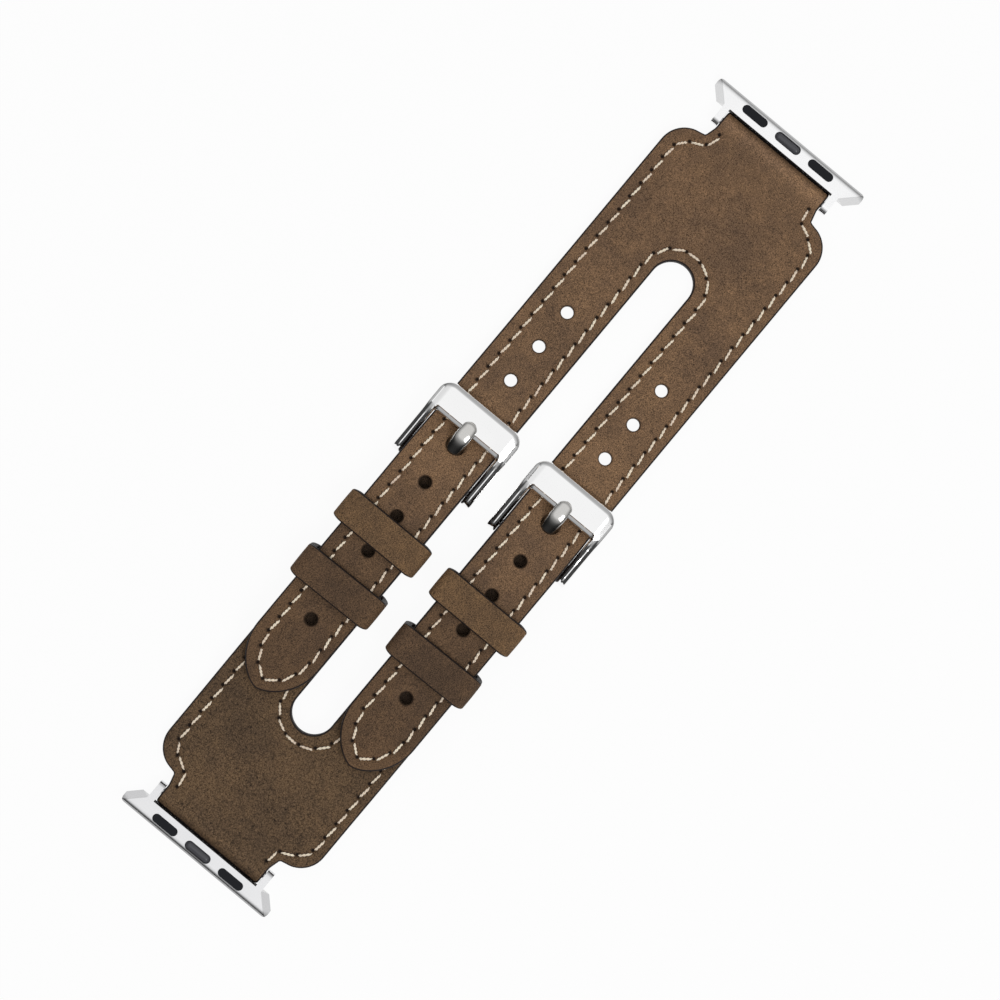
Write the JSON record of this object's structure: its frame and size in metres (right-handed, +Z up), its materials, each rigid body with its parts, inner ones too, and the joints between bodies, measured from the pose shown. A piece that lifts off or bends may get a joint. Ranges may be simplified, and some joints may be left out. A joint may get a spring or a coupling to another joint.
{
  "type": "twin strap watch band",
  "caption": "Leather watch band whose halves split into paired narrow straps joined by pin buckles, with sliding keepers and a hinged slide-in metal adapter at each end.",
  "frame": {"origin": "middle of the closed band on the table it lies on", "axes": "+X along the band to the tail half's adapter, +Y across it to strap A, +Z up through the outer face"},
  "size_m": [0.158, 0.0378, 0.0072],
  "materials": {
    "leather_outer": "oiled matte pull-up leather",
    "leather_lining": "matte lining leather",
    "leather_keeper": "oiled matte leather",
    "buckle_steel": "mirror polished",
    "prong_steel": "satin",
    "adapter_steel": "satin blasted",
    "pin_steel": "plain",
    "spring_steel": "plain",
    "pad_rubber": "matte",
    "latch_plastic": "glossy"
  },
  "bodies": {
    "root": {"tail_upper_leather": "leather_outer", "tail_lining": "leather_lining", "short_upper_leather": "leather_outer", "short_lining": "leather_lining", "fixed_keeper_a": "leather_keeper", "fixed_keeper_b": "leather_keeper", "buckle_bar_tube_a": "pin_steel", "buckle_bar_tube_b": "pin_steel", "buckle_bar_spring_a": "spring_steel", "buckle_bar_spring_b": "spring_steel", "adapter_bar_tube_tail": "pin_steel", "adapter_bar_tube_short": "pin_steel", "adapter_bar_spring_tail": "spring_steel", "adapter_bar_spring_short": "spring_steel"},
    "adapter_tail": {"adapter_tail": "adapter_steel", "latch_cover_tail": "adapter_steel", "rubber_pads_tail": "pad_rubber", "latch_spring_tail": "spring_steel"},
    "latch_button_tail": {"latch_button_tail": "latch_plastic"},
    "adapter_plunger_a_tail": {"adapter_plunger_a_tail": "pin_steel"},
    "adapter_plunger_b_tail": {"adapter_plunger_b_tail": "pin_steel"},
    "adapter_short": {"adapter_short": "adapter_steel", "latch_cover_short": "adapter_steel", "rubber_pads_short": "pad_rubber", "latch_spring_short": "spring_steel"},
    "latch_button_short": {"latch_button_short": "latch_plastic"},
    "adapter_plunger_a_short": {"adapter_plunger_a_short": "pin_steel"},
    "adapter_plunger_b_short": {"adapter_plunger_b_short": "pin_steel"},
    "buckle_frame_a": {"buckle_frame_a": "buckle_steel"},
    "prong_a": {"prong_a": "prong_steel"},
    "free_keeper_a": {"free_keeper_a": "leather_keeper"},
    "buckle_plunger_outer_a": {"buckle_plunger_outer_a": "pin_steel"},
    "buckle_plunger_inner_a": {"buckle_plunger_inner_a": "pin_steel"},
    "buckle_frame_b": {"buckle_frame_b": "buckle_steel"},
    "prong_b": {"prong_b": "prong_steel"},
    "free_keeper_b": {"free_keeper_b": "leather_keeper"},
    "buckle_plunger_outer_b": {"buckle_plunger_outer_b": "pin_steel"},
    "buckle_plunger_inner_b": {"buckle_plunger_inner_b": "pin_steel"}
  },
  "joints": [
    {"name": "adapter_tail_hinge", "type": "hinge", "parent": "root", "child": "adapter_tail", "pos_m": [0.0734, 0, 0.0015], "axis": [0, 1, 0], "range_deg": [-105, 105]},
    {"name": "latch_button_tail_press", "type": "slide", "parent": "adapter_tail", "child": "latch_button_tail", "axis": [0, 0, -1], "range_m": [0, 0.0005], "stiffness_N_per_m": 500, "springref_m": -0.0006, "deforming": ["latch_spring_tail"]},
    {"name": "adapter_plunger_a_tail_press", "type": "slide", "parent": "root", "child": "adapter_plunger_a_tail", "axis": [0, -1, 0], "range_m": [0, 0.0009], "stiffness_N_per_m": 600, "springref_m": -0.001, "deforming": ["adapter_bar_spring_tail"]},
    {"name": "adapter_plunger_b_tail_press", "type": "slide", "parent": "root", "child": "adapter_plunger_b_tail", "axis": [0, 1, 0], "range_m": [0, 0.0009], "stiffness_N_per_m": 600, "springref_m": -0.001, "deforming": ["adapter_bar_spring_tail"]},
    {"name": "adapter_short_hinge", "type": "hinge", "parent": "root", "child": "adapter_short", "pos_m": [-0.0734, 0, 0.0015], "axis": [0, -1, 0], "range_deg": [-105, 105]},
    {"name": "latch_button_short_press", "type": "slide", "parent": "adapter_short", "child": "latch_button_short", "axis": [0, 0, -1], "range_m": [0, 0.0005], "stiffness_N_per_m": 500, "springref_m": -0.0006, "deforming": ["latch_spring_short"]},
    {"name": "adapter_plunger_a_short_press", "type": "slide", "parent": "root", "child": "adapter_plunger_a_short", "axis": [0, -1, 0], "range_m": [0, 0.0009], "stiffness_N_per_m": 600, "springref_m": -0.001, "deforming": ["adapter_bar_spring_short"]},
    {"name": "adapter_plunger_b_short_press", "type": "slide", "parent": "root", "child": "adapter_plunger_b_short", "axis": [0, 1, 0], "range_m": [0, 0.0009], "stiffness_N_per_m": 600, "springref_m": -0.001, "deforming": ["adapter_bar_spring_short"]},
    {"name": "buckle_frame_a_hinge", "type": "hinge", "parent": "root", "child": "buckle_frame_a", "pos_m": [-0.0022, 0.01033, 0.0025], "axis": [0, -1, 0], "range_deg": [0, 4]},
    {"name": "prong_a_hinge", "type": "hinge", "parent": "buckle_frame_a", "child": "prong_a", "pos_m": [-0.0022, 0.01033, 0.0025], "axis": [0, -1, 0], "range_deg": [0, 4]},
    {"name": "free_keeper_a_slide", "type": "slide", "parent": "root", "child": "free_keeper_a", "axis": [1, 0, 0], "range_m": [-0.014, 0.0054]},
    {"name": "buckle_plunger_outer_a_press", "type": "slide", "parent": "root", "child": "buckle_plunger_outer_a", "axis": [0, -1, 0], "range_m": [0, 0.0009], "stiffness_N_per_m": 600, "springref_m": -0.001, "deforming": ["buckle_bar_spring_a"]},
    {"name": "buckle_plunger_inner_a_press", "type": "slide", "parent": "root", "child": "buckle_plunger_inner_a", "axis": [0, 1, 0], "range_m": [0, 0.0009], "stiffness_N_per_m": 600, "springref_m": -0.001, "deforming": ["buckle_bar_spring_a"]},
    {"name": "buckle_frame_b_hinge", "type": "hinge", "parent": "root", "child": "buckle_frame_b", "pos_m": [-0.0022, -0.01033, 0.0025], "axis": [0, -1, 0], "range_deg": [0, 4]},
    {"name": "prong_b_hinge", "type": "hinge", "parent": "buckle_frame_b", "child": "prong_b", "pos_m": [-0.0022, -0.01033, 0.0025], "axis": [0, -1, 0], "range_deg": [0, 4]},
    {"name": "free_keeper_b_slide", "type": "slide", "parent": "root", "child": "free_keeper_b", "axis": [1, 0, 0], "range_m": [-0.014, 0.0054]},
    {"name": "buckle_plunger_outer_b_press", "type": "slide", "parent": "root", "child": "buckle_plunger_outer_b", "axis": [0, 1, 0], "range_m": [0, 0.0009], "stiffness_N_per_m": 600, "springref_m": -0.001, "deforming": ["buckle_bar_spring_b"]},
    {"name": "buckle_plunger_inner_b_press", "type": "slide", "parent": "root", "child": "buckle_plunger_inner_b", "axis": [0, -1, 0], "range_m": [0, 0.0009], "stiffness_N_per_m": 600, "springref_m": -0.001, "deforming": ["buckle_bar_spring_b"]}
  ]
}
